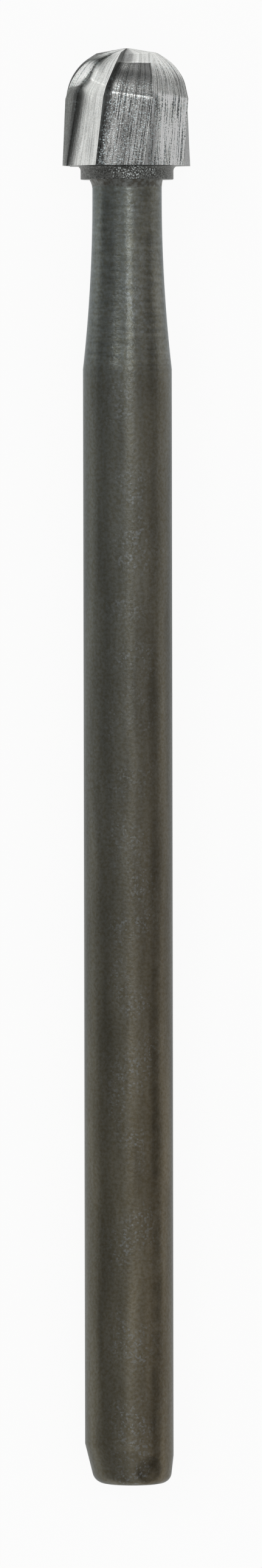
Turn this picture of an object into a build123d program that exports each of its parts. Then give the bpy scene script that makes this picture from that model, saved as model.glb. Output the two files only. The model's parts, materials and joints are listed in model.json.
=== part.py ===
"""Carbide burr: a brazed tungsten carbide head with eight ground teeth on a turned steel shank.

The burr lies as it comes to rest: two teeth and the edge of the shank's end touch the surface Z = 0.
Its head points along +Y. Lengths are in millimetres, and heights run along the burr's own axis,
from the shank's end (0) to the tip of the head.
"""

from build123d import *
from math import asin, atan2, cos, degrees, hypot, radians, sin
import os

# ---------------------------------------------------------------- driving dimensions

# Steel shank, from its end to the braze.
shank_radius = 1.175        # 2.35 mm handpiece shank
shank_length = 29.50        # full radius up to here, where the blend begins with a soft corner
blend_length = 4.55         # concave, running out into the neck
neck_radius = 0.917
neck_length = 0.42          # parallel neck, up to the braze
end_bevel_depth = 0.19      # radius lost at the flat end face
end_bevel_slope = 0.20      # radius gained for each millimetre of height
end_bevel_offset = 0.05     # the bevel is worn to one side, towards +X
end_corner_radius = 0.30

# Braze between neck and collar.
braze_thickness = 0.03
braze_fillet_height = 0.17
braze_fillet_foot = 0.02    # thickness of the fillet where it runs out on the neck
braze_fillet_width = 0.055
braze_fillet_offset = 0.025  # the fillet has run to one side, towards -X

# Carbide head, from the collar's lower face to the tip.
collar_radius = 1.228
collar_height = 0.36        # up to the head's underside
collar_fillet_radius = 0.13
head_radius = 1.755         # to the cutting edges
cutting_length = 1.755      # parallel part of the head, up to the shoulder
dome_height = 1.355         # shoulder to tip
grinding_stock = 0.03       # the turned blank stands this much outside the cutting edges

# Teeth: right-hand helix and right-hand cut. The flutes get deeper from the underside to the shoulder.
tooth_count = 8
helix_turn = 8.0            # degrees from the underside to the shoulder
underside_depth = 0.106     # of each flute where it leaves the head's underside
flute_overrun = 0.30        # how far each flute is carried on below the underside
wheel_reach = 2.5           # the flute's cutter is this many times as large as the flute itself

# Over the dome each flute is ground in straight passes, which meet at four stations: the shoulder,
# the flank, the crown and the cap. Turns are degrees about the axis, from where the tooth's edge
# crosses the shoulder. Every second tooth is short: at the cap it closes on the long one after it.
station_heights = [0.0, 0.402, 0.690, 0.893]    # shares of the dome's height
station_radii = [1.0, 0.892, 0.708, 0.475]      # shares of the head's radius
long_edge_turns = [0.0, 3.5, 7.5, 9.0]
long_depths = [0.355, 0.345, 0.33, 0.38]        # of the flute after a long tooth
long_root_lifts = [0.18, 0.12, 0.02, -0.02]     # its root lies this much nearer the tip than the edge
long_root_turns = [0.5, 5.5, 12.0, 10.5]
short_edge_turns = [0.0, 3.0, 6.5, 25.0]
short_depths = [0.355, 0.42, 0.28, 0.12]        # of the flute after a short tooth
short_root_lifts = [0.18, 0.12, 0.03, -0.04]
short_root_turns = [0.5, 6.0, 11.0, 33.0]

# Edges and roots leave the tip close to the axis: (height above the tip, radius, turn).
long_edge_end = (0.03, 0.10, 12.0)
long_root_end = (-0.02, 0.03, 14.0)
short_edge_end = (0.0, 0.10, 48.0)
short_root_end = (-0.02, 0.05, 52.0)

# ---------------------------------------------------------------- heights that follow

neck_start = shank_length + blend_length
neck_top = neck_start + neck_length
collar_base = neck_top + braze_thickness
underside = collar_base + collar_height
shoulder = underside + cutting_length
tip = shoulder + dome_height
end_radius = shank_radius - end_bevel_depth
bevel_height = end_bevel_depth / end_bevel_slope

# ---------------------------------------------------------------- paths of edges and roots


def edge_path(turns, end):
    """A cutting edge from the underside to the tip, as (height, radius, turn) of each station."""
    path = [(underside, head_radius, -helix_turn)]
    for height_share, radius_share, turn in zip(station_heights, station_radii, turns):
        path.append((shoulder + height_share * dome_height, radius_share * head_radius, turn))
    end_rise, end_radius, end_turn = end
    return path + [(tip + end_rise, end_radius, end_turn)]


def root_path(edge, depths, lifts, turns, end):
    """The root of the flute after an edge, as (height, radius, turn) of each station."""
    path = [(underside, head_radius - underside_depth, -helix_turn)]
    for (height, radius, edge_turn), depth, lift, turn in zip(edge[1:], depths, lifts, turns):
        path.append((height + lift, radius - depth, turn))
    end_rise, end_radius, end_turn = end
    return path + [(tip + end_rise, end_radius, end_turn)]


def carried_on(path):
    """The path with its first point moved down by the overrun, along the first straight stretch."""
    (low_height, low_radius, low_turn), (height, radius, turn) = path[:2]
    share = flute_overrun / (height - low_height)
    start = (
        low_height - flute_overrun,
        low_radius + (low_radius - radius) * share,
        low_turn + (low_turn - turn) * share,
    )
    return [start] + path[1:]


long_edge = edge_path(long_edge_turns, long_edge_end)
short_edge = edge_path(short_edge_turns, short_edge_end)
long_root = root_path(long_edge, long_depths, long_root_lifts, long_root_turns, long_root_end)
short_root = root_path(short_edge, short_depths, short_root_lifts, short_root_turns, short_root_end)

# ---------------------------------------------------------------- how the burr lies

# At rest one tooth touches at its shoulder and the next one at its lower end. Between those two
# corners lies tooth_pitch less the helix_turn, halved here. Their heights over the surface differ by
# the burr's slope along the cutting length, which rolls the burr a little further: this is "roll".
tooth_pitch = 360 / tooth_count
half_gap = radians(tooth_pitch - helix_turn) / 2
span = shoulder - bevel_height
swing = head_radius * sin(half_gap) * (2 * span / cutting_length - 1)
drop = head_radius * cos(half_gap)
roll = atan2(drop, swing) - asin(shank_radius / hypot(drop, swing))
slope = atan2(head_radius * cos(half_gap - roll) - shank_radius, span)
first_edge = 180 - degrees(half_gap - roll)

burr_direction = Vector(0, cos(slope), sin(slope))
burr_upward = Vector(0, -sin(slope), cos(slope))
shank_end = Vector(
    0,
    -tip * cos(slope) / 2,
    shank_radius * cos(slope) - bevel_height * sin(slope),
)
burr_axis = Axis(shank_end, burr_direction)
side_plane = Plane(shank_end, x_dir=(1, 0, 0), z_dir=burr_upward)
end_plane = Plane(shank_end, x_dir=burr_upward, z_dir=burr_direction)


def on_burr(path_point, edge_angle):
    """The place of one point of an edge or a root, for the tooth whose edge is at edge_angle."""
    height, radius, turn = path_point
    angle = radians(edge_angle + turn)
    return end_plane.from_local_coords((radius * cos(angle), radius * sin(angle), height))


# ---------------------------------------------------------------- steel shank

with BuildPart() as steel_shank:
    with BuildSketch(side_plane):
        with BuildLine():
            Line((0, 0), (shank_radius, 0))
            Line((shank_radius, 0), (shank_radius, shank_length))
            blend = TangentArc(
                (neck_radius, neck_start), (shank_radius, shank_length), tangent=(0, -1)
            )
            Line(blend @ 0, (neck_radius, neck_top))
            Polyline((neck_radius, neck_top), (0, neck_top), (0, 0))
        make_face()
    revolve(axis=burr_axis)
    # The worn bevel: all that stands outside a cone about an axis beside the burr's own.
    bevel_plane = side_plane.shift_origin(shank_end + Vector(end_bevel_offset, 0, 0))
    bevel_reach = bevel_height + end_bevel_offset / end_bevel_slope + 1
    with BuildSketch(bevel_plane):
        with BuildLine():
            Polyline(
                (end_radius, 0),
                (end_radius + end_bevel_slope * bevel_reach, bevel_reach),
                (end_radius + end_bevel_slope * bevel_reach, 0),
                close=True,
            )
        make_face()
    revolve(axis=Axis(bevel_plane.origin, burr_direction), mode=Mode.SUBTRACT)
    end_face = steel_shank.faces().sort_by(burr_axis)[0]
    fillet(end_face.edges(), end_corner_radius)

steel_shank.part.label = "steel_shank"

# ---------------------------------------------------------------- braze

with BuildPart() as braze_joint:
    with BuildSketch(end_plane.offset(neck_top - braze_fillet_height)):
        Circle(neck_radius + braze_fillet_foot)
    with BuildSketch(end_plane.offset(collar_base)):
        with Locations((0, -braze_fillet_offset)):
            Circle(neck_radius + braze_fillet_width)
    loft()
    with BuildSketch(end_plane.offset(neck_top - braze_fillet_height)):
        Circle(neck_radius)
    extrude(amount=braze_fillet_height, mode=Mode.SUBTRACT)

braze_joint.part.label = "braze_joint"

# ---------------------------------------------------------------- carbide head

with BuildPart() as carbide_head:
    # The turned blank: collar, fillet, parallel part and dome.
    blank_radius = head_radius + grinding_stock
    dome_points = [(radius + grinding_stock, height) for height, radius, turn in long_edge[1:5]]
    with BuildSketch(side_plane):
        with BuildLine():
            Polyline(
                (0, collar_base),
                (collar_radius, collar_base),
                (collar_radius, underside - collar_fillet_radius),
            )
            RadiusArc(
                (collar_radius, underside - collar_fillet_radius),
                (collar_radius + collar_fillet_radius, underside),
                collar_fillet_radius,
            )
            Polyline(
                (collar_radius + collar_fillet_radius, underside),
                (blank_radius, underside),
                dome_points[0],
            )
            ThreePointArc(*dome_points[:3])
            Polyline(dome_points[2], dome_points[3], (0, tip), (0, collar_base))
        make_face()
    revolve(axis=burr_axis)

    # The flutes, one after each tooth: a V whose steep side is the tooth's rake face, and whose long
    # side is the back of the next tooth.
    for tooth in range(tooth_count):
        if tooth % 2:
            own_edge, next_edge, root = short_edge, long_edge, short_root
        else:
            own_edge, next_edge, root = long_edge, short_edge, long_root
        angle = first_edge + tooth * tooth_pitch
        stations = zip(carried_on(own_edge), carried_on(next_edge), carried_on(root))
        for own_point, next_point, root_point in stations:
            bottom = on_burr(root_point, angle)
            rake_side = (on_burr(own_point, angle) - bottom) * wheel_reach
            back_side = (on_burr(next_point, angle + tooth_pitch) - bottom) * wheel_reach
            section_plane = Plane(bottom, x_dir=rake_side, z_dir=rake_side.cross(back_side))
            with BuildSketch(section_plane):
                with BuildLine():
                    Polyline(
                        (0, 0),
                        (rake_side.length, 0),
                        section_plane.to_local_coords(bottom + rake_side + back_side),
                        section_plane.to_local_coords(bottom + back_side),
                        close=True,
                    )
                make_face()
        loft(ruled=True, mode=Mode.SUBTRACT)

carbide_head.part.label = "carbide_head"

# ---------------------------------------------------------------- files

os.makedirs("parts", exist_ok=True)
export_step(steel_shank.part, "parts/steel_shank.step")
export_step(braze_joint.part, "parts/braze_joint.step")
export_step(carbide_head.part, "parts/carbide_head.step")
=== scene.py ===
import json

import bpy
import numpy as np
from mathutils import Matrix, Vector


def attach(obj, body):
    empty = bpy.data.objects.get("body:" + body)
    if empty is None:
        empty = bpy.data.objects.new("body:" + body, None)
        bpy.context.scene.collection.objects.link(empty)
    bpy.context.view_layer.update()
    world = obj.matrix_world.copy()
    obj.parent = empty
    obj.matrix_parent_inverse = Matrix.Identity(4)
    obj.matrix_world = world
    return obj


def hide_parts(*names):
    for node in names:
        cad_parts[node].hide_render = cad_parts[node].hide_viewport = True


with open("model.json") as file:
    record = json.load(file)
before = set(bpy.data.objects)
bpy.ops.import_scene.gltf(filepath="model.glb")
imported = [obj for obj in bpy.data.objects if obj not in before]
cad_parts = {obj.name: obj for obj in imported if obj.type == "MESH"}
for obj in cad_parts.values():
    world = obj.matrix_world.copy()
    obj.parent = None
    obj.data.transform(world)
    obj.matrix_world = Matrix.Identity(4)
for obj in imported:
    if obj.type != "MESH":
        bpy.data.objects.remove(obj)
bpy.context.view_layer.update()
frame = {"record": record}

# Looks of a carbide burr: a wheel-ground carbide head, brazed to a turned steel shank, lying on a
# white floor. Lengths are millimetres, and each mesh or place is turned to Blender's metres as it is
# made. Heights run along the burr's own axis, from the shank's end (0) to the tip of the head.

mm = 0.001

# ------------------------------------------------------------------ the burr's axis, from the frame

shank_mount = frame["record"]["mounts"][0]
mount_height = 15.0         # of the shank's clamping place
direction = -np.array(shank_mount["axis"])          # from the shank's end to the tip
sideways = np.array((1.0, 0.0, 0.0))
upward = np.cross(sideways, direction)
shank_end = np.array(shank_mount["pos_m"]) / mm - mount_height * direction

# ------------------------------------------------------------------ sizes

shank_radius = shank_mount["dims"]["r_mm"]
shank_length = 29.50        # full radius up to here, where the blend begins
blend_length = 4.55
neck_radius = 0.917
neck_length = 0.42
end_radius = 1.0026         # of the worn bevel at the flat end
end_bevel_slope = 0.1815    # radius gained for each millimetre of height
end_bevel_height = 0.95     # where the bevel ends on the side that lies on the floor
end_bevel_top = 1.30        # above all of the bevel
end_bevel_offset = 0.09     # at the flat end the bevel stands this far to one side, towards +X,
end_bevel_lean = 0.068      # and comes back by this much in each millimetre of height
end_corner_radius = 0.30

braze_thickness = 0.03
braze_fillet_height = 0.17
braze_fillet_width = 0.055
braze_fillet_offset = 0.025  # the fillet has run to one side, towards -X
braze_foot_thickness = 0.003
braze_hollow_power = 1.7    # how hollow the fillet is: 1 is straight

collar_radius = 1.228
collar_height = 0.36
collar_fillet_radius = 0.13
collar_corner_radius = 0.02
head_radius = 1.755         # to the cutting edges
cutting_length = 1.755
dome_height = 1.355
cap_radius = 0.864          # of the turned blank, where its blunt tip begins

tooth_count = 8
helix_turn = 8.0            # degrees from the underside to the shoulder
underside_depth = 0.106     # of each flute at the head's underside

neck_start = shank_length + blend_length
neck_top = neck_start + neck_length
collar_base = neck_top + braze_thickness
underside = collar_base + collar_height
shoulder = underside + cutting_length
tip = shoulder + dome_height

# At rest one tooth touches the floor at its shoulder and the next one at its lower end, half a gap
# to each side of straight down. Their heights over the floor differ by the burr's slope along the
# cutting length, which rolls the burr a little further.
half_gap = np.radians(360 / tooth_count - helix_turn) / 2
swing = head_radius * np.sin(half_gap) * (2 * (shoulder - end_bevel_height) / cutting_length - 1)
drop = head_radius * np.cos(half_gap)
roll = np.arctan2(drop, swing) - np.arcsin(shank_radius / np.hypot(drop, swing))
# Degrees from straight up towards +X, to four places, where the first tooth's edge crosses the
# shoulder.
first_edge = np.round(180 - np.degrees(half_gap - roll), 4)

# Edges and roots of the flutes at the shoulder, the flank, the crown and the cap. Every second tooth
# is short: at the cap it closes on the long one after it.
station_heights = np.array([0.0, 0.402, 0.690, 0.893]) * dome_height
station_radii = np.array([1.0, 0.892, 0.708, 0.475]) * head_radius
long_edge_turns = [0.0, 3.5, 7.5, 9.0]
long_depths = [0.355, 0.345, 0.33, 0.38]
long_root_lifts = [0.18, 0.12, 0.02, -0.02]
long_root_turns = [0.5, 5.5, 12.0, 10.5]
short_edge_turns = [0.0, 3.0, 6.5, 25.0]
short_depths = [0.355, 0.42, 0.28, 0.12]
short_root_lifts = [0.18, 0.12, 0.03, -0.04]
short_root_turns = [0.5, 6.0, 11.0, 33.0]

# Edges and roots leave the tip close to the axis: (height above the tip, radius, turn).
long_edge_end = (0.03, 0.10, 12.0)
long_root_end = (-0.02, 0.03, 14.0)
short_edge_end = (0.0, 0.10, 48.0)
short_root_end = (-0.02, 0.05, 52.0)

# The flutes are ground by hand, so no two teeth are alike. Teeth count from the first edge. Each row
# has the degrees that a tooth's edge stands on from its even place, or the millimetres that an edge
# or a root is low, at the underside, the shoulder, the flank, the crown, the cap and the tip.
edge_slips = {4: [2.4, 1.5, 0.8, 1.8, 2.8, 0.0], 7: [3.0, 2.0, 0.5, 0.0, 0.0, 0.0]}
edge_drops = {4: [0.0, 0.016, 0.006, 0.0, 0.0, 0.0], 5: [0.0, 0.0, 0.0, -0.05, 0.0, 0.0]}
root_drops = {3: [0.0, 0.0, 0.08, 0.04, 0.0, 0.0], 4: [0.0, 0.0, 0.0, -0.06, 0.0, 0.0]}
# On one back the flank's pass begins nearer the shoulder, by these shares of the way down to it.
edge_slides = {4: 0.42}
root_slides = {3: 0.25}

# How each flute's passes meet on the back that follows its root, at the shoulder, the flank, the
# crown and the cap: 0 in a crease, 1 in one smooth curve.
back_smoothness = np.array(
    [
        [0.0, 0.8, 0.2, 0.2],
        [0.3, 1.0, 1.0, 0.5],
        [0.0, 1.0, 1.0, 0.5],
        [0.5, 0.0, 1.0, 0.6],
        [0.0, 1.0, 0.0, 0.0],
        [0.0, 1.0, 1.0, 0.6],
        [0.0, 1.0, 0.8, 0.3],
        [0.4, 0.2, 1.0, 0.5],
    ]
)

# How each back looks, over the straight part and the four spans of the dome: how bright, how coarse
# (0 fine, 1 coarse lines and painted glints), and how far up from the root, as a share of the back,
# painted shade darkens it. The brightness is partly the wheel's finish and partly painted reflection
# and shade.
back_finish_and_shading = [
    [0.80, 0.80, 0.80, 0.90, 0.90],
    [0.70, 0.80, 0.85, 0.85, 0.90],
    [0.85, 0.85, 0.80, 0.90, 0.90],
    [0.86, 0.92, 0.88, 0.85, 0.90],
    [0.42, 0.40, 1.20, 0.85, 0.85],
    [1.50, 0.95, 0.85, 0.95, 0.95],
    [0.25, 0.60, 0.85, 0.90, 0.90],
    [0.75, 0.85, 0.80, 0.90, 0.90],
]
back_coarseness = [
    [0.80, 0.40, 0.40, 0.30, 0.20],
    [0.50, 0.40, 0.30, 0.30, 0.20],
    [0.40, 0.40, 0.40, 0.30, 0.20],
    [0.40, 0.25, 0.50, 0.55, 0.50],
    [0.90, 0.70, 0.45, 0.35, 0.30],
    [1.00, 0.60, 0.60, 0.40, 0.20],
    [0.40, 0.30, 0.30, 0.30, 0.20],
    [0.60, 0.40, 0.40, 0.30, 0.20],
]
root_shade_reach = [
    [0.15, 0.15, 0.15, 0.15, 0.15],
    [0.12, 0.10, 0.10, 0.10, 0.10],
    [0.15, 0.15, 0.15, 0.15, 0.15],
    [0.34, 0.30, 0.16, 0.05, 0.05],
    [0.16, 0.14, 0.18, 0.50, 0.40],
    [0.42, 0.12, 0.08, 0.08, 0.08],
    [1.60, 0.80, 0.10, 0.10, 0.10],
    [0.12, 0.15, 0.15, 0.15, 0.15],
]
crease_highlight = 0.3          # how much a painted highlight brightens a crease
crease_highlight_width = 0.045        # of the painted highlight's band, as a share of a span
highlit_tooth = 3          # its rake face has a painted highlight on the dome, over these spans from the
highlight_start = 1.5          # underside (0): half way up the first pass, to a little above the crown
highlight_end = 3.3

# Places that the finishes know: points in the scene's own axes, and distances round the shank.
collar_highlight_middle = (0.25, 15.70, 2.88)
end_patch_middle = (0.62, -18.55, 2.05)
shadow_reflection_around = 4.58
highlight_side_around = 3.86

# ------------------------------------------------------------------ meshes

first_ring_radius = 0.1     # of the shank's mesh, round the middle of its flat end
bevel_row_gap = 0.025       # close, because the shank's own radius cuts the bevel off at a slant
round_columns = 144         # of each mesh that is turned about the axis
round_angles = np.radians(180 + np.arange(round_columns) * 360 / round_columns)


def on_burr(radius, angle, height):
    """Points at a radius and an angle about the axis and a height along it. Angles are in radians,
    from straight up towards +X."""
    radius, angle, height = np.broadcast_arrays(radius, angle, height)
    across = radius * np.sin(angle)
    up = radius * np.cos(angle)
    return np.stack([across, up, height], axis=-1)


def to_scene(points):
    """Points given as across, up and along the burr, in the scene's own axes."""
    return shank_end + points @ np.array([sideways, upward, direction])


def pattern_grid(around, along):
    """Pattern coordinates of a skin: the distances round it, and the places along it of each ring."""
    return np.stack(np.broadcast_arrays(around[None, :], along), axis=-1)


def closed_skin(
    name, node, rings, uv, materials, crease, face_materials=None, attributes=None
):
    """A closed mesh over rings of points, shape (rings, columns, 3), stacked along the burr. Quads
    join each ring to the next, and a fan of triangles closes each end at the middle of its ring.
    Faces that meet at more than the crease, in degrees, have a sharp edge between them."""
    ring_count, column_count = rings.shape[:2]
    middles = np.stack([rings[0].mean(0), rings[-1].mean(0)])
    points = to_scene(np.concatenate([rings.reshape(-1, 3), middles])) * mm
    ring, column = np.meshgrid(
        np.arange(ring_count - 1), np.arange(column_count), indexing="ij"
    )
    after = (column + 1) % column_count
    quads = np.stack(
        [
            ring * column_count + column,
            ring * column_count + after,
            (ring + 1) * column_count + after,
            (ring + 1) * column_count + column,
        ],
        axis=-1,
    ).reshape(-1, 4)
    low = np.arange(column_count)
    high = low + (ring_count - 1) * column_count
    low_middle = np.full_like(low, ring_count * column_count)
    low_fan = np.stack([np.roll(low, -1), low, low_middle], axis=-1)
    high_fan = np.stack([high, np.roll(high, -1), low_middle + 1], axis=-1)
    mesh = bpy.data.meshes.new(name)
    mesh.from_pydata(points, [], quads.tolist() + low_fan.tolist() + high_fan.tolist())

    # The pattern's coordinates: one more column than the mesh has, so that no face wraps back.
    quad_uv = np.stack([uv[:-1, :-1], uv[:-1, 1:], uv[1:, 1:], uv[1:, :-1]], axis=2)
    low_uv = np.stack([uv[0, 1:], uv[0, :-1], uv[0, :-1]], axis=1)
    high_uv = np.stack([uv[-1, :-1], uv[-1, 1:], uv[-1, :-1]], axis=1)
    layer = mesh.uv_layers.new(name="pattern")
    layer.data.foreach_set(
        "uv", np.concatenate([quad_uv.ravel(), low_uv.ravel(), high_uv.ravel()])
    )

    for label, values in (attributes or {}).items():
        ends = [values[0].mean(), values[-1].mean()]
        attribute = mesh.attributes.new(label, "FLOAT", "POINT")
        attribute.data.foreach_set("value", np.concatenate([values.ravel(), ends]))
    for material in materials:
        mesh.materials.append(material)
    if face_materials is not None:
        fans = np.repeat([face_materials[0, 0], face_materials[-1, 0]], column_count)
        chosen = np.concatenate([face_materials.ravel(), fans]).astype(np.int32)
        mesh.polygons.foreach_set("material_index", chosen)
    mesh.shade_smooth()
    mesh.set_sharp_from_angle(angle=np.radians(crease))
    mesh.update()
    skin = bpy.data.objects.new(name, mesh)
    bpy.context.scene.collection.objects.link(skin)
    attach(skin, "root")
    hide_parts(node)
    return skin


def ground_course(columns, smoothness, along):
    """Carries columns of stations, shape (columns, stations, 3), to the places along: between two
    stations each column is a cubic Hermite curve. Where two passes meet in a crease (smoothness 0)
    the curve leaves each station along its chord, and where they run into each other (1) it leaves
    along the mean of both chords, each weighted with the other one's length. At the first station
    after the start it leaves along the chord before it, so that the straight part stays straight."""
    chords = np.diff(columns, axis=1)
    lengths = np.linalg.norm(chords, axis=2, keepdims=True)
    courses = chords / lengths
    before, after = lengths[:, :-1], lengths[:, 1:]
    meeting = (courses[:, :-1] * after + courses[:, 1:] * before) / (before + after)
    meeting[:, 0] = courses[:, 0]
    share = smoothness[..., None]
    leaving = chords.copy()
    leaving[:, 1:] += share * (meeting * after - chords[:, 1:])
    arriving = chords.copy()
    arriving[:, :-1] += share * (meeting * before - chords[:, :-1])
    span = np.minimum(along.astype(int), chords.shape[1] - 1)
    q = (along - span)[None, :, None]
    surface = (
        (2 * q**3 - 3 * q**2 + 1) * columns[:, span]
        + (q**3 - 2 * q**2 + q) * leaving[:, span]
        + (3 * q**2 - 2 * q**3) * columns[:, span + 1]
        + (q**3 - q**2) * arriving[:, span]
    )
    return surface.transpose(1, 0, 2)


# ------------------------------------------------------------------ materials


def colour(hex_value):
    """An sRGB hex colour as linear red, green, blue and alpha."""
    srgb = np.array([int(hex_value[i : i + 2], 16) for i in (1, 3, 5)]) / 255
    linear = np.where(srgb <= 0.04045, srgb / 12.92, ((srgb + 0.055) / 1.055) ** 2.4)
    return (*linear, 1.0)


def add(tree, kind, inputs=None, stops=None, **settings):
    """Adds one node. Settings are its properties. Inputs gives each socket a value or the output that
    feeds it, by the socket's name, or by its number where a node has several of one name. Stops
    gives a colour ramp its places, each with a hex colour or a grey."""
    made = tree.nodes.new(kind)
    for name, value in settings.items():
        setattr(made, name, value)
    for name, value in (inputs or {}).items():
        if isinstance(value, bpy.types.NodeSocket):
            tree.links.new(value, made.inputs[name])
        else:
            made.inputs[name].default_value = value
    if stops:
        ramp = made.color_ramp.elements
        while len(ramp) < len(stops):
            ramp.new(0.5)
        for element, (place, shade) in zip(ramp, stops):
            element.position = place
            element.color = colour(shade) if isinstance(shade, str) else (shade, shade, shade, 1.0)
    return made


def new_material(name):
    """An empty node material, its tree and its output."""
    material = bpy.data.materials.new(name)
    material.use_nodes = True
    tree = material.node_tree
    tree.nodes.clear()
    return material, tree, add(tree, "ShaderNodeOutputMaterial")


def drawn_noise(tree, vector, size, detail):
    """Noise in spots that are as long as size says along each axis of the vector."""
    scale = tuple(1 / length for length in size)
    scaled = add(tree, "ShaderNodeMapping", {"Vector": vector, "Scale": scale})
    return add(
        tree,
        "ShaderNodeTexNoise",
        {"Vector": scaled.outputs["Vector"], "Scale": 1.0, "Detail": detail},
    ).outputs["Fac"]


def stripe(tree, around, middle, core, reach, inside, outside):
    """A stripe along the burr: the value inside holds up to core millimetres from its middle, and
    runs out to the value outside at reach."""
    beside = add(tree, "ShaderNodeMath", {0: around, 1: middle}, operation="SUBTRACT")
    distance = add(tree, "ShaderNodeMath", {0: beside.outputs["Value"]}, operation="ABSOLUTE")
    return add(
        tree,
        "ShaderNodeMapRange",
        {
            "Value": distance.outputs["Value"],
            "From Min": core,
            "From Max": reach,
            "To Min": inside,
            "To Max": outside,
        },
    ).outputs["Result"]


def bare_metal(tree, output, tint, roughness, relief, depth, slant_tint="#FFFFFF"):
    """Ends a material as bare metal of this tint and roughness. The relief's step from 0 to 1 is as
    high as the depth in millimetres, and the slant tint colours what is seen at a slant."""
    bump = add(
        tree,
        "ShaderNodeBump",
        {"Strength": 1.0, "Distance": depth * mm, "Height": relief},
    )
    metal = add(
        tree,
        "ShaderNodeBsdfPrincipled",
        {
            "Base Color": tint,
            "Metallic": 1.0,
            "Roughness": roughness,
            "Specular Tint": colour(slant_tint),
            "Normal": bump.outputs["Normal"],
        },
    )
    tree.links.new(metal.outputs["BSDF"], output.inputs["Surface"])


def ground_carbide(name, dark, mean, light, roughness, line_depth):
    """Cobalt-bonded tungsten carbide, ground with a diamond wheel: a bright, cool grey metal. The
    wheel's lines run along each flute, and a brightness at each place, partly finish and partly
    painted reflection and shade, scales the colour. Pale cells are painted glints of broken grains.
    Where the wheel was coarse, the lines and the painted glints are strong."""
    material, tree, output = new_material(name)
    pattern = add(tree, "ShaderNodeUVMap", uv_map="pattern").outputs["UV"]
    place = add(tree, "ShaderNodeTexCoord").outputs["Object"]
    # The brightness carries painted shade near the roots, painted highlights at creases and on one
    # rake face, and each facet's level, partly its finish and partly painted reflection and shade.
    brightness = add(tree, "ShaderNodeAttribute", attribute_name="brightness").outputs["Fac"]
    coarseness = add(tree, "ShaderNodeAttribute", attribute_name="coarseness").outputs["Fac"]

    # Lines left by the wheel: broad ones 0.06 mm wide and 3 mm long, and fine ones 0.025 mm wide and
    # 1 mm long. Real ones go down to a few microns, which is too fine to show.
    broad_lines = drawn_noise(tree, pattern, size=(0.06, 3.0, 1.0), detail=1.0)
    fine_lines = drawn_noise(tree, pattern, size=(0.025, 1.0, 1.0), detail=1.0)
    lines = add(
        tree,
        "ShaderNodeMix",
        {"Factor": 0.6, "A": broad_lines, "B": fine_lines},
    ).outputs["Result"]
    # Grains torn out of the surface, drawn at 0.035 mm, which is coarser than the real micron.
    grain_size = 0.035 * mm
    grain = add(
        tree,
        "ShaderNodeTexNoise",
        {"Vector": place, "Scale": 1 / grain_size, "Detail": 1.0},
    ).outputs["Fac"]
    relief = add(
        tree,
        "ShaderNodeMix",
        {"Factor": 0.25, "A": lines, "B": grain},
    ).outputs["Result"]
    tint = add(
        tree,
        "ShaderNodeValToRGB",
        {"Fac": relief},
        stops=[(0.43, dark), (0.50, mean), (0.58, light)],
    ).outputs["Color"]
    lined = add(
        tree,
        "ShaderNodeMix",
        {"Factor": coarseness, "A": colour(mean), "B": tint},
        data_type="RGBA",
    ).outputs["Result"]

    # Patches 0.3 mm wide and 1 mm long where the wheel was loaded.
    patches = drawn_noise(tree, pattern, size=(0.3, 1.0, 1.0), detail=2.0)
    patch = add(
        tree,
        "ShaderNodeMapRange",
        {"Value": patches, "From Min": 0.32, "From Max": 0.68, "To Min": -0.35, "To Max": 0.25},
    ).outputs["Result"]
    loaded = add(
        tree,
        "ShaderNodeMath",
        {0: patch, 1: coarseness, 2: 1.0},
        operation="MULTIPLY_ADD",
    ).outputs["Value"]
    level = add(
        tree,
        "ShaderNodeMath",
        {0: loaded, 1: brightness},
        operation="MULTIPLY",
    ).outputs["Value"]
    ground = add(
        tree,
        "ShaderNodeVectorMath",
        {0: lined, "Scale": level},
        operation="SCALE",
    ).outputs["Vector"]

    # Painted glints: one cell in seven of a 0.03 mm pattern is drawn pale, as a broken grain's face
    # that catches the light.
    cell_size = 0.03 * mm
    cells = add(tree, "ShaderNodeTexVoronoi", {"Vector": place, "Scale": 1 / cell_size})
    chance = add(tree, "ShaderNodeSeparateColor", {"Color": cells.outputs["Color"]}).outputs["Red"]
    glint_share = add(
        tree,
        "ShaderNodeMapRange",
        {"Value": chance, "From Min": 0.80, "From Max": 0.90, "To Min": 0.0, "To Max": 0.4},
    ).outputs["Result"]
    painted_glint = add(
        tree,
        "ShaderNodeMath",
        {0: glint_share, 1: coarseness},
        operation="MULTIPLY",
    ).outputs["Value"]
    finish = add(
        tree,
        "ShaderNodeMix",
        {"Factor": painted_glint, "A": ground, "B": colour("#E6F6FA")},
        data_type="RGBA",
    ).outputs["Result"]
    bare_metal(tree, output, finish, roughness, relief, line_depth)
    return material


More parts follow.
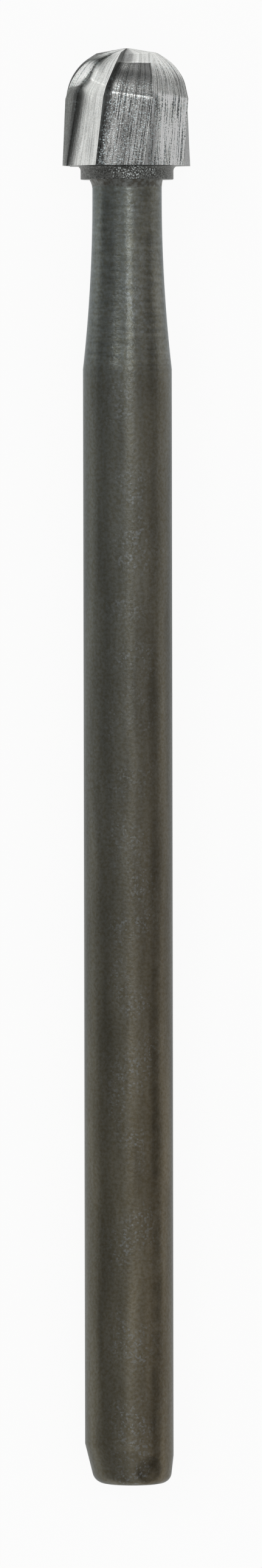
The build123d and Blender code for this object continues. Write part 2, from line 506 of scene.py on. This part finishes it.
def sintered_carbide(name):
    """The collar, left as it was sintered and turned: dark grey and grainy, with bright grains, which
    crowd in a painted highlight on its top.
    """
    material, tree, output = new_material(name)
    place = add(tree, "ShaderNodeTexCoord").outputs["Object"]
    # Grains of a few microns, drawn at 0.04 mm so that they show.
    grain_size = 0.04 * mm
    grain = add(
        tree,
        "ShaderNodeTexNoise",
        {"Vector": place, "Scale": 1 / grain_size, "Detail": 2.0},
    ).outputs["Fac"]

    # A painted highlight: over a ragged field about 0.7 mm wide on the collar's top, the grains show
    # strong and bright, and elsewhere they are dim.
    rag_size = 0.4 * mm
    rag_depth = 1.5 * mm
    rags = add(
        tree,
        "ShaderNodeTexNoise",
        {"Vector": place, "Scale": 1 / rag_size, "Detail": 1.0},
    ).outputs["Fac"]
    distance = add(
        tree,
        "ShaderNodeVectorMath",
        {0: place, 1: [length * mm for length in collar_highlight_middle]},
        operation="DISTANCE",
    ).outputs["Value"]
    ragged = add(
        tree,
        "ShaderNodeMath",
        {0: rags, 1: rag_depth, 2: distance},
        operation="MULTIPLY_ADD",
    ).outputs["Value"]
    highlight_strength = add(
        tree,
        "ShaderNodeMapRange",
        {
            "Value": ragged,
            "From Min": 0.90 * mm,
            "From Max": 1.30 * mm,
            "To Min": 1.1,
            "To Max": 0.4,
        },
    ).outputs["Result"]
    # The grain's contrast about its middle, 0.5, follows the painted highlight.
    spread = add(
        tree,
        "ShaderNodeMath",
        {0: grain, 1: 0.5},
        operation="SUBTRACT",
    ).outputs["Value"]
    share = add(
        tree,
        "ShaderNodeMath",
        {0: spread, 1: highlight_strength, 2: 0.5},
        operation="MULTIPLY_ADD",
    ).outputs["Value"]
    tint = add(
        tree,
        "ShaderNodeValToRGB",
        {"Fac": share},
        stops=[(0.40, "#40403E"), (0.56, "#767774"), (0.68, "#DCE4E4")],
    ).outputs["Color"]
    bare_metal(tree, output, tint, roughness=0.42, relief=grain, depth=0.012)
    return material


def oil_film_and_reflected_shadow(tree, around, height, mottle):
    """The shank's colour: clean grey steel at the neck, under an oil film that is browner towards the
    end, and broken by a mottle of bluer bare steel. Its tint changes round the shank, and the browner
    band on the side towards +X is painted reflection of the floor's shadow."""
    share = add(
        tree,
        "ShaderNodeMapRange",
        {"Value": height, "From Min": 0.0, "From Max": 34.5, "To Min": 0.0, "To Max": 1.0},
    ).outputs["Result"]
    age = add(
        tree,
        "ShaderNodeValToRGB",
        {"Fac": share},
        stops=[
            (0.00, "#6E685C"),
            (0.25, "#6A6458"),
            (0.45, "#666259"),
            (0.65, "#67655E"),
            (0.845, "#6A6963"),
            (0.865, "#70716D"),
            (1.00, "#70726F"),
        ],
    ).outputs["Color"]
    film = add(
        tree,
        "ShaderNodeValToRGB",
        {"Fac": mottle},
        stops=[(0.34, "#E2DED2"), (0.50, "#EFEFEC"), (0.66, "#FBFDFF")],
    ).outputs["Color"]
    turn_share = add(
        tree,
        "ShaderNodeMath",
        {0: around, 1: 1 / (2 * np.pi * shank_radius)},
        operation="MULTIPLY",
    ).outputs["Value"]
    # Tint round the shank: the browner stops from 0.60 to 0.68 of the way round, on the side towards
    # +X, are painted reflection of the floor's shadow.
    side_tint_and_reflection = add(
        tree,
        "ShaderNodeValToRGB",
        {"Fac": turn_share},
        stops=[
            (0.00, "#FCFDFA"),
            (0.28, "#F7FEFF"),
            (0.50, "#FAFEFF"),
            (0.60, "#FFFAF2"),
            (0.68, "#FFFBF5"),
            (0.74, "#FBFEFF"),
            (1.00, "#FCFDFA"),
        ],
    ).outputs["Color"]
    tint = age
    for layer in (film, side_tint_and_reflection):
        tint = add(
            tree,
            "ShaderNodeMix",
            {"Factor": 1.0, "A": tint, "B": layer},
            data_type="RGBA",
            blend_type="MULTIPLY",
        ).outputs["Result"]
    return tint


def dirt_and_reflected_shadow(tree, place, around, height):
    """The shank's brightness: smudges 0.4 mm wide and 3 mm long, less a dark patch 0.8 mm wide at the
    end and a painted reflection of the floor's shadow, a band 0.3 mm wide that runs up from it along
    the side towards +X, both broken by blots of 0.3 mm."""
    smudge_size = (0.4 * mm, 3.0 * mm, 0.4 * mm)
    smudges = drawn_noise(tree, place, smudge_size, detail=4.0)
    smudge_level = add(
        tree,
        "ShaderNodeMapRange",
        {"Value": smudges, "From Min": 0.30, "From Max": 0.70, "To Min": 0.80, "To Max": 1.20},
    ).outputs["Result"]
    blot_size = 0.3 * mm
    blots = add(
        tree,
        "ShaderNodeTexNoise",
        {"Vector": place, "Scale": 1 / blot_size, "Detail": 3.0},
    ).outputs["Fac"]
    distance = add(
        tree,
        "ShaderNodeVectorMath",
        {0: place, 1: [length * mm for length in end_patch_middle]},
        operation="DISTANCE",
    ).outputs["Value"]
    end_patch = add(
        tree,
        "ShaderNodeMapRange",
        {
            "Value": distance,
            "From Min": 0.33 * mm,
            "From Max": 0.44 * mm,
            "To Min": 0.95,
            "To Max": 0.0,
        },
    ).outputs["Result"]
    # Painted reflection of the floor's shadow: a dark band along the side towards +X, strongest
    # towards the end.
    reflected_shadow = stripe(
        tree, around, shadow_reflection_around, core=0.08, reach=0.26, inside=0.62, outside=0.0
    )
    run_out = add(
        tree,
        "ShaderNodeMapRange",
        {"Value": height, "From Min": 7.0, "From Max": 24.0, "To Min": 1.0, "To Max": 0.25},
    ).outputs["Result"]
    reflected_shadow = add(
        tree,
        "ShaderNodeMath",
        {0: reflected_shadow, 1: run_out},
        operation="MULTIPLY",
    ).outputs["Value"]
    patch_and_shadow = add(
        tree,
        "ShaderNodeMath",
        {0: end_patch, 1: reflected_shadow},
        operation="MAXIMUM",
    ).outputs["Value"]
    blotted_patch_and_shadow = add(
        tree,
        "ShaderNodeMath",
        {0: patch_and_shadow, 1: blots},
        operation="MULTIPLY",
    ).outputs["Value"]
    return add(
        tree,
        "ShaderNodeMath",
        {0: smudge_level, 1: blotted_patch_and_shadow},
        operation="SUBTRACT",
    ).outputs["Value"]


def specks_and_painted_sparkle(tree, place, around):
    """How bare the shank is: cells of 0.05 mm, one in three of them rubbed bare to some degree, in
    clusters of about a millimetre, and most of them along the top, where they are painted sparkle of
    the highlight."""
    cell_size = 0.05 * mm
    cells = add(tree, "ShaderNodeTexVoronoi", {"Vector": place, "Scale": 1 / cell_size})
    chance = add(tree, "ShaderNodeSeparateColor", {"Color": cells.outputs["Color"]}).outputs["Red"]
    bare = add(
        tree,
        "ShaderNodeMapRange",
        {"Value": chance, "From Min": 0.70, "From Max": 1.00, "To Min": 0.0, "To Max": 1.0},
    ).outputs["Result"]
    cluster_size = 1.3 * mm
    clusters = add(
        tree,
        "ShaderNodeTexNoise",
        {"Vector": place, "Scale": 1 / cluster_size, "Detail": 1.0},
    ).outputs["Fac"]
    crowd = add(
        tree,
        "ShaderNodeMapRange",
        {"Value": clusters, "From Min": 0.42, "From Max": 0.62, "To Min": 0.0, "To Max": 0.4},
    ).outputs["Result"]
    # Painted sparkle of the highlight: the specks crowd along the top.
    highlit_side = stripe(
        tree, around, highlight_side_around, core=0.35, reach=0.70, inside=1.0, outside=0.25
    )
    crowd = add(
        tree,
        "ShaderNodeMath",
        {0: crowd, 1: highlit_side},
        operation="MULTIPLY",
    ).outputs["Value"]
    return add(
        tree,
        "ShaderNodeMath",
        {0: crowd, 1: bare},
        operation="MULTIPLY",
    ).outputs["Value"]


def turned_steel(name):
    """Tool steel, turned, ground to size and then handled: a satin grey, clean at the neck and browned
    by oil and fingers towards the end. Smudges are drawn out along the shank, specks of bare steel
    show through the brown, the end has a dark patch, and the turning tool has left ripples round neck
    and blend. On the side towards +X a dark band and a browner tint are painted reflection of the
    floor's shadow, and along the top the specks crowd as painted sparkle of the highlight."""
    material, tree, output = new_material(name)
    place = add(tree, "ShaderNodeTexCoord").outputs["Object"]
    pattern = add(tree, "ShaderNodeUVMap", uv_map="pattern").outputs["UV"]
    around, height, _ = add(tree, "ShaderNodeSeparateXYZ", {"Vector": pattern}).outputs

    mottle_size = 0.08 * mm
    mottle = add(
        tree,
        "ShaderNodeTexNoise",
        {"Vector": place, "Scale": 1 / mottle_size, "Detail": 2.0},
    ).outputs["Fac"]

    # Ripples of the turning tool: real feed marks of some 0.03 mm, drawn at 0.12 mm so that they
    # show. They begin where the blend does.
    feed = drawn_noise(tree, pattern, size=(0.7, 0.12, 1.0), detail=2.0)
    ripple = add(
        tree,
        "ShaderNodeMapRange",
        {"Value": feed, "From Min": 0.3, "From Max": 0.7, "To Min": -0.20, "To Max": 0.20},
    ).outputs["Result"]
    turned = add(
        tree,
        "ShaderNodeMapRange",
        {"Value": height, "From Min": 29.0, "From Max": 29.8, "To Min": 0.0, "To Max": 1.0},
    ).outputs["Result"]
    level = add(
        tree,
        "ShaderNodeMath",
        {0: ripple, 1: turned, 2: dirt_and_reflected_shadow(tree, place, around, height)},
        operation="MULTIPLY_ADD",
    ).outputs["Value"]
    steel = add(
        tree,
        "ShaderNodeVectorMath",
        {0: oil_film_and_reflected_shadow(tree, around, height, mottle), "Scale": level},
        operation="SCALE",
    ).outputs["Vector"]
    # Pale bare steel specks; where they crowd along the top they are painted sparkle of the highlight.
    finish = add(
        tree,
        "ShaderNodeMix",
        {"Factor": specks_and_painted_sparkle(tree, place, around), "A": steel, "B": colour("#8A9094")},
        data_type="RGBA",
    ).outputs["Result"]
    relief = add(
        tree,
        "ShaderNodeMath",
        {0: ripple, 1: turned, 2: mottle},
        operation="MULTIPLY_ADD",
    ).outputs["Value"]
    roughness = add(
        tree,
        "ShaderNodeMapRange",
        {"Value": height, "From Min": 28.5, "From Max": 29.8, "To Min": 0.38, "To Max": 0.32},
    ).outputs["Result"]
    bare_metal(tree, output, finish, roughness, relief, depth=0.005, slant_tint="#E4E7EA")
    return material


def silver_braze(name):
    """Silver solder, as it ran: dull, lumpy and a little brown from the flux."""
    material, tree, output = new_material(name)
    place = add(tree, "ShaderNodeTexCoord").outputs["Object"]
    lump_size = 0.12 * mm
    lumps = add(
        tree,
        "ShaderNodeTexNoise",
        {"Vector": place, "Scale": 1 / lump_size, "Detail": 3.0},
    ).outputs["Fac"]
    tint = add(
        tree,
        "ShaderNodeValToRGB",
        {"Fac": lumps},
        stops=[(0.38, "#56534C"), (0.52, "#676864"), (0.68, "#7C7E7B")],
    ).outputs["Color"]
    bare_metal(tree, output, tint, roughness=0.45, relief=lumps, depth=0.012)
    return material


# ------------------------------------------------------------------ steel shank


def shank_profile():
    """Radius and height along the shank's outline, in two stretches. The worn end is a flat, a corner
    arc and the bevel's straight flank. The turned rest is the plain length, an arc that runs out into
    the neck, and the neck. Rows are close where the outline bends."""
    bevel_angle = np.arctan(end_bevel_slope)
    flat_radius = end_radius - end_corner_radius * np.tan((np.pi / 2 - bevel_angle) / 2)
    flat_radii = np.linspace(first_ring_radius, flat_radius, 6)
    flat = np.stack([flat_radii, np.zeros_like(flat_radii)])
    turns = np.linspace(-np.pi / 2, -bevel_angle, 12)[1:]
    corner_radii = flat_radius + end_corner_radius * np.cos(turns)
    corner_heights = end_corner_radius + end_corner_radius * np.sin(turns)
    corner = np.stack([corner_radii, corner_heights])
    flank_heights = np.arange(corner_heights[-1] + 0.03, end_bevel_top, bevel_row_gap)
    flank = np.stack([end_radius + end_bevel_slope * flank_heights, flank_heights])
    worn_end = np.concatenate([flat, corner, flank], axis=1)

    plain_heights = np.linspace(end_bevel_top + 0.05, shank_length - 0.05, 60)
    plain = np.stack([np.full_like(plain_heights, shank_radius), plain_heights])
    step = shank_radius - neck_radius
    blend_radius = (step**2 + blend_length**2) / (2 * step)
    blend_heights = np.linspace(shank_length, neck_start, 48)
    sag = np.sqrt(blend_radius**2 - (neck_start - blend_heights) ** 2)
    blend = np.stack([neck_radius + blend_radius - sag, blend_heights])
    neck_heights = np.linspace(neck_start + 0.1, neck_top, 5)
    neck = np.stack([np.full_like(neck_heights, neck_radius), neck_heights])
    turned_rest = np.concatenate([plain, blend, neck], axis=1)
    return worn_end, turned_rest


def make_shank():
    """The profile turned about the axis. Rings of the worn end are drawn about the bevel's own axis,
    which leans from one side back to the burr's, and what falls outside the shank's radius is pulled
    in to it."""
    worn_end, turned_rest = shank_profile()
    radii, heights = worn_end[:, :, None]
    worn = on_burr(radii, round_angles, heights)
    worn[..., 0] += end_bevel_offset - end_bevel_lean * heights
    reach = np.hypot(worn[..., 0], worn[..., 1])
    worn[..., :2] *= np.minimum(1.0, shank_radius / reach)[..., None]
    radii, heights = turned_rest[:, :, None]
    rings = np.concatenate([worn, on_burr(radii, round_angles, heights)])
    around = np.linspace(0, 2 * np.pi * shank_radius, round_columns + 1)
    along = np.concatenate([worn_end[1], turned_rest[1]])
    return closed_skin(
        "turned_shank",
        "steel_shank",
        rings,
        pattern_grid(around, along[:, None]),
        [turned_steel("turned tool steel, handled")],
        crease=40,
    )


# ------------------------------------------------------------------ braze


def make_braze():
    """A ring whose outside is a hollow fillet between the neck and the collar, wider towards -X: its
    thickness grows as a power of the height. The foot wanders up and down by a fifth of the fillet's
    height. The mesh is closed inside the neck."""
    rise = np.linspace(0, 1, 12)[:, None]
    # Three long waves and seven short ones round the neck.
    wander = 0.12 * np.sin(3 * round_angles + 0.6) + 0.08 * np.sin(7 * round_angles)
    foot_heights = neck_top - braze_fillet_height * (1 + wander) * 0.97
    foot_radius = neck_radius + braze_foot_thickness
    top_radii = neck_radius + braze_fillet_width - braze_fillet_offset * np.sin(round_angles)
    outer_radii = foot_radius + (top_radii - foot_radius) * rise**braze_hollow_power
    outer_heights = foot_heights + (collar_base - foot_heights) * rise
    outside = on_burr(outer_radii, round_angles, outer_heights)
    base_radii = neck_radius * np.array([0.35, 0.7, 0.99])[:, None]
    base = on_burr(base_radii, round_angles, foot_heights.max())
    lid_radii = neck_radius * np.array([0.7, 0.35])[:, None]
    lid = on_burr(lid_radii, round_angles, collar_base)
    rings = np.concatenate([base, outside, lid])
    around = np.linspace(0, 2 * np.pi * neck_radius, round_columns + 1)
    along = np.linspace(0, 1, len(rings))
    return closed_skin(
        "braze_fillet",
        "braze_joint",
        rings,
        pattern_grid(around, along[:, None]),
        [silver_braze("silver braze, as run")],
        crease=50,
    )


# ------------------------------------------------------------------ carbide head

# Shares of the way across each tooth's rake face, from its edge to the root, and then across the next
# tooth's back, from the root to its edge.
rake_shares = np.array([0.0, 0.05, 0.25, 0.5, 0.75, 0.95])
back_shares = np.concatenate([[0.0, 0.02], np.linspace(0.08, 0.92, 15), [0.98]])


def stations(turns, end, depths=(0.0,) * 4, lifts=(0.0,) * 4, first_depth=0.0):
    """Height, radius and turn of an edge at the underside, the four stations of the dome and the tip,
    or of a root, which lies deeper than its edge and nearer the tip."""
    heights = shoulder + station_heights + np.array(lifts)
    radii = station_radii - np.array(depths)
    middle = np.stack([heights, radii, np.array(turns)], axis=1)
    rise, radius, turn = end
    start = (underside, head_radius - first_depth, -helix_turn)
    return np.concatenate([[start], middle, [(tip + rise, radius, turn)]])


def flute_lines(long_path, short_path, slips, drops, slides):
    """The long and the short path on every tooth in turn, as points, shape (teeth, stations, 3). Slips
    are degrees further round, and drops are lower radii, for each tooth and station. Slides move a
    tooth's flank station towards its shoulder by a share of the way."""
    paths = np.stack([long_path, short_path] * (tooth_count // 2))
    even_places = first_edge + np.arange(tooth_count)[:, None] * 360 / tooth_count
    turned = np.radians(even_places + paths[..., 2] + slips)
    lines = on_burr(paths[..., 1] - drops, turned, paths[..., 0])
    for tooth, share in slides.items():
        lines[tooth, 2] += share * (lines[tooth, 1] - lines[tooth, 2])
    return lines


def head_columns():
    """Points of each column of the head at the underside, the four stations and the tip, and its
    smoothness at the four stations. Columns follow each tooth from its edge down the rake face to the
    root, and up the back of the next tooth to its edge."""
    slips, low_edges, low_roots = [
        np.array([table.get(tooth, [0.0] * 6) for tooth in range(tooth_count)])
        for table in (edge_slips, edge_drops, root_drops)
    ]
    edges = flute_lines(
        stations(long_edge_turns, long_edge_end),
        stations(short_edge_turns, short_edge_end),
        slips,
        low_edges,
        edge_slides,
    )
    roots = flute_lines(
        stations(long_root_turns, long_root_end, long_depths, long_root_lifts, underside_depth),
        stations(short_root_turns, short_root_end, short_depths, short_root_lifts, underside_depth),
        slips / 2,
        low_roots,
        root_slides,
    )
    next_edges = np.roll(edges, -1, axis=0)
    rake = edges[:, None] + rake_shares[None, :, None, None] * (roots - edges)[:, None]
    back = roots[:, None] + back_shares[None, :, None, None] * (next_edges - roots)[:, None]
    columns = np.concatenate([rake, back], axis=1)

    # A tooth's edge is as smooth as the back that ends in it, and its root as the back that starts
    # there.
    before = np.roll(back_smoothness, 1, axis=0)[:, None]
    own = back_smoothness[:, None]
    rake_smoothness = before + rake_shares[None, :, None] * (own - before)
    smoothness = np.concatenate([rake_smoothness, np.repeat(own, len(back_shares), axis=1)], axis=1)
    return columns.reshape(-1, 6, 3), smoothness.reshape(-1, 4)


def collar_rings(ground_ring):
    """Rings of the collar, from its lower face to its fillet, and of the head's underside, out to its
    first ground ring. They keep that ring's columns."""
    angles = np.unwrap(np.arctan2(ground_ring[:, 0], ground_ring[:, 1]))
    corner = np.linspace(-np.pi / 2, 0, 5)
    corner_radii = collar_radius - collar_corner_radius * (1 - np.cos(corner))
    corner_heights = collar_base + collar_corner_radius * (1 + np.sin(corner))
    face_radii = np.linspace(0.3, corner_radii[0], 4)[:-1]     # of the lower face, inside its edge
    fillet = np.linspace(0, np.pi / 2, 9)
    fillet_radii = collar_radius + collar_fillet_radius * (1 - np.cos(fillet))
    fillet_heights = underside - collar_fillet_radius * (1 - np.sin(fillet))
    radii = np.concatenate([face_radii, corner_radii, fillet_radii])
    face_heights = np.full_like(face_radii, collar_base)
    heights = np.concatenate([face_heights, corner_heights, fillet_heights])
    collar = on_burr(radii[:, None], angles, heights[:, None])
    shares = np.array([0.3, 0.6, 0.9, 0.98])[:, None, None]
    return np.concatenate([collar, collar[-1] + shares * (ground_ring - collar[-1])])


def wheel_marks(place_along):
    """Brightness and coarseness of each column, at places from 0 at the underside to 5 at the tip. The
    looks of two spans change over quickly at a crease and slowly at a smooth station."""
    half_seams = (0.05 + 0.35 * back_smoothness)[..., None] * np.array([-1.0, 1.0])
    seams = (np.arange(1, 5)[:, None] + half_seams).reshape(tooth_count, 8)
    own = np.array(
        [
            [
                np.interp(place_along, [0.0, *ends, 5.0], np.repeat(row, 2))
                for ends, row in zip(seams, table)
            ]
            for table in (back_finish_and_shading, back_coarseness, root_shade_reach)
        ]
    )
    bright, coarse, reach = own.transpose(0, 2, 1)[..., None]

    # Painted shade darkens each back near its root, leaving a third of the brightness there, and a
    # painted highlight brightens each crease.
    out_of_root_shade = np.clip(back_shares / reach * 2 - 1, 0, 1)
    creases = np.exp(-(((place_along[:, None] - np.arange(1, 5)) / crease_highlight_width) ** 2))
    # How near each place is to a crease that is not smooth, for the painted highlight along the
    # creases.
    worn = creases @ (1 - back_smoothness).T
    back_bright = bright * (1 + 2 * out_of_root_shade) / 3 * (1 + crease_highlight * worn[..., None])
    back_coarse = coarse * np.ones(len(back_shares))

    # Rake faces are fine, and darker towards the root: painted shade in the flute. One rake face is
    # painted brighter all along, and over the dome it gets a painted highlight with more painted
    # glints, whose shine runs out towards the tip.
    rake_bright = np.ones_like(bright) * (1 - 0.5 * np.clip(rake_shares * 2.2 - 1, 0, 1))
    rake_coarse = np.full_like(rake_bright, 0.3)
    begun = np.clip((place_along - highlight_start) / 0.08, 0, 1)
    rake_highlight = begun * np.clip((highlight_end - place_along) / 0.5, 0, 1)
    near_tip = np.clip((place_along - highlight_end) / 0.3, 0, 1)
    rake_bright[:, highlit_tooth] *= (1.45 + 3.0 * rake_highlight + 1.5 * near_tip)[:, None]
    rake_coarse[:, highlit_tooth] += 0.7 * rake_highlight[:, None]
    return [
        np.concatenate(pair, axis=2).reshape(len(place_along), -1)
        for pair in ((rake_bright, back_bright), (rake_coarse, back_coarse))
    ]


def make_head():
    """One skin over the collar and the fluted head. Rows follow the ground course of each column from
    the underside to the tip, and nothing stands out of the turned blank's blunt tip, a shallow
    cone."""
    columns, smoothness = head_columns()
    # Rows stand close on both sides of each station and skip it, which wears the crease a little.
    steps = [span + np.linspace(0.12, 0.88, 13) for span in range(5)]
    close = [station + np.array([-0.05, -0.012, 0.02, 0.06]) for station in range(1, 5)]
    along = np.concatenate([[0.0, 0.04, 4.95, 5.0]] + steps + close)
    along = np.unique(np.round(along, 4))
    surface = ground_course(columns, smoothness, along)
    reach = np.hypot(surface[..., 0], surface[..., 1])
    cap_height = shoulder + station_heights[3]
    blank_heights = tip - (tip - cap_height) * reach / cap_radius
    lowered = np.minimum(surface[..., 2], blank_heights)
    surface[..., 2] = np.where(reach < cap_radius, lowered, surface[..., 2])
    collar = collar_rings(surface[0])
    rings = np.concatenate([collar, surface])
    brightness, coarseness = wheel_marks(np.concatenate([np.zeros(len(collar)), along]))

    # The pattern runs round the head as at the shoulder, and along it.
    shoulder_ring = columns[:, 1]
    widths = np.linalg.norm(np.roll(shoulder_ring, -1, axis=0) - shoulder_ring, axis=1)
    around = np.concatenate([[0.0], np.cumsum(widths)])
    heights = np.concatenate([rings[..., 2], rings[:, :1, 2]], axis=1)

    # Materials by number: 0 on the collar, 1 on the backs and 2 on the rake faces.
    per_tooth = [2] * len(rake_shares) + [1] * len(back_shares)
    face_materials = np.tile(per_tooth * tooth_count, (len(rings) - 1, 1))
    face_materials[: len(collar) - 1] = 0
    return closed_skin(
        "ground_head",
        "carbide_head",
        rings,
        pattern_grid(around, heights),
        [
            sintered_carbide("sintered carbide, as turned"),
            ground_carbide(
                "wheel-ground carbide, backs",
                dark="#54585A",
                mean="#E4E5E1",
                light="#FFFFFF",
                roughness=0.25,
                line_depth=0.010,
            ),
            # The rake faces are the same carbide, drawn darker: painted shade of faces that turn from
            # the light.
            ground_carbide(
                "wheel-ground carbide, rake faces",
                dark="#4E504F",
                mean="#868785",
                light="#B8BABA",
                roughness=0.36,
                line_depth=0.006,
            ),
        ],
        crease=32,
        face_materials=face_materials,
        attributes={"brightness": brightness, "coarseness": coarseness},
    )


# ------------------------------------------------------------------ floor, light and camera

floor_side = 8.0            # metres
floor_glow = 0.93           # share of white that camera and mirror rays see, over the lit paint

picture_height = 2576       # pixels
pixels_per_mm = 62.115      # at the burr's middle
lens = 240.0                # millimetres
sensor = 36.0               # millimetres
view_lean = 5.35            # degrees that the camera leans towards +X about the burr's axis
view_pitch = 2.23           # degrees that it leans towards the tip
view_roll = 0.105           # degrees that the burr's tip leans to the left in the picture
burr_left = 4.78            # pixels from the picture's middle to the burr's, to the left and up
burr_up = 27.77


def make_floor():
    """A white floor: a plain square with a matt white finish that camera and mirror rays see as
    white, while it keeps part of the burr's shadow."""
    half = floor_side / 2
    corners = [(-half, -half, 0), (half, -half, 0), (half, half, 0), (-half, half, 0)]
    mesh = bpy.data.meshes.new("white_floor")
    mesh.from_pydata(corners, [], [(0, 1, 2, 3)])
    floor = bpy.data.objects.new("white_floor", mesh)
    bpy.context.scene.collection.objects.link(floor)
    material, tree, output = new_material("matt white laminate")
    paint = add(tree, "ShaderNodeBsdfDiffuse", {"Color": colour("#F6F6F4")})
    glow = add(tree, "ShaderNodeEmission", {"Color": colour("#FFFFFF"), "Strength": 1.0})
    path = add(tree, "ShaderNodeLightPath")
    seen = path.outputs["Is Camera Ray"]
    for ray in ("Is Glossy Ray", "Is Transmission Ray"):
        seen = add(
            tree,
            "ShaderNodeMath",
            {0: seen, 1: path.outputs[ray]},
            operation="MAXIMUM",
        ).outputs["Value"]
    share = add(
        tree,
        "ShaderNodeMath",
        {0: seen, 1: floor_glow},
        operation="MULTIPLY",
    ).outputs["Value"]
    mixed = add(
        tree,
        "ShaderNodeMixShader",
        {"Fac": share, 1: paint.outputs["BSDF"], 2: glow.outputs["Emission"]},
    )
    tree.links.new(mixed.outputs["Shader"], output.inputs["Surface"])
    mesh.materials.append(material)


def make_world():
    """A plain room: brightest overhead and a little towards +X, darker towards both sides, and
    darkest behind the tip (+Y)."""
    world = bpy.data.worlds.new("studio")
    bpy.context.scene.world = world
    world.use_nodes = True
    tree = world.node_tree
    tree.nodes.clear()
    output = add(tree, "ShaderNodeOutputWorld")
    heading = add(tree, "ShaderNodeTexCoord").outputs["Generated"]
    parts = add(tree, "ShaderNodeSeparateXYZ", {"Vector": heading}).outputs
    tilt = add(
        tree,
        "ShaderNodeMath",
        {0: parts["X"], 1: parts["Z"]},
        operation="ARCTAN2",
    ).outputs["Value"]
    share = add(
        tree,
        "ShaderNodeMapRange",
        {
            "Value": tilt,
            "From Min": -np.pi / 2,
            "From Max": np.pi / 2,
            "To Min": 0.0,
            "To Max": 1.0,
        },
    ).outputs["Result"]
    across = add(
        tree,
        "ShaderNodeValToRGB",
        {"Fac": share},
        stops=[
            (0.00, 0.62),
            (0.10, 0.52),
            (0.28, 0.42),
            (0.45, 0.75),
            (0.56, 0.90),
            (0.70, 0.85),
            (0.80, 0.75),
            (0.90, 0.60),
            (1.00, 0.45),
        ],
    ).outputs["Color"]
    along = add(
        tree,
        "ShaderNodeMapRange",
        {"Value": parts["Y"], "From Min": 0.35, "From Max": 0.85, "To Min": 1.0, "To Max": 0.25},
    ).outputs["Result"]
    level = add(
        tree,
        "ShaderNodeMath",
        {0: across, 1: along},
        operation="MULTIPLY",
    ).outputs["Value"]
    sky = add(tree, "ShaderNodeBackground", {"Strength": level})
    tree.links.new(sky.outputs["Background"], output.inputs["Surface"])


def make_lamp(name, place, width, height, power):
    """A soft rectangular lamp at a place, turned to the burr's middle. Distances are metres."""
    lamp = bpy.data.lights.new(name, "AREA")
    lamp.shape = "RECTANGLE"
    lamp.size = width
    lamp.size_y = height
    lamp.energy = power
    holder = bpy.data.objects.new(name, lamp)
    bpy.context.scene.collection.objects.link(holder)
    holder.location = place
    holder.rotation_mode = "QUATERNION"
    holder.rotation_quaternion = (-Vector(place)).to_track_quat("-Z", "Y")


def make_camera():
    """Looks down on the lying burr, a little from +X and from the tip, through a long lens."""
    lean = np.radians(view_lean)
    pitch = np.radians(view_pitch)
    roll_left = np.radians(view_roll)
    above = upward * np.cos(lean) + sideways * np.sin(lean)
    back = above * np.cos(pitch) + direction * np.sin(pitch)
    picture_up = direction * np.cos(pitch) - above * np.sin(pitch)
    picture_right = np.cross(picture_up, back)
    rolled_up = picture_up * np.cos(roll_left) + picture_right * np.sin(roll_left)
    rolled_right = picture_right * np.cos(roll_left) - picture_up * np.sin(roll_left)
    burr_middle = shank_end + direction * tip / 2
    aim = burr_middle + (burr_left * rolled_right - burr_up * rolled_up) / pixels_per_mm
    distance = lens / sensor * picture_height / pixels_per_mm
    camera_data = bpy.data.cameras.new("camera")
    camera_data.lens = lens
    camera_data.sensor_width = sensor
    camera_data.clip_start = 0.01
    camera_data.clip_end = 10.0
    camera = bpy.data.objects.new("camera", camera_data)
    bpy.context.scene.collection.objects.link(camera)
    place = (aim + back * distance) * mm
    turn = np.stack([rolled_right, rolled_up, back], axis=1)
    camera.matrix_world = Matrix.Translation(Vector(place)) @ Matrix(turn.tolist()).to_4x4()
    bpy.context.scene.camera = camera


# ------------------------------------------------------------------ the scene

make_shank()
make_braze()
make_head()
make_floor()
make_world()
make_lamp("left_lamp", place=(-0.24, 0.26, 0.50), width=0.16, height=0.16, power=0.35)
make_lamp("top_lamp", place=(0.13, 0.09, 0.60), width=0.06, height=0.12, power=0.22)
make_camera()
bpy.context.scene.view_settings.view_transform = "Standard"
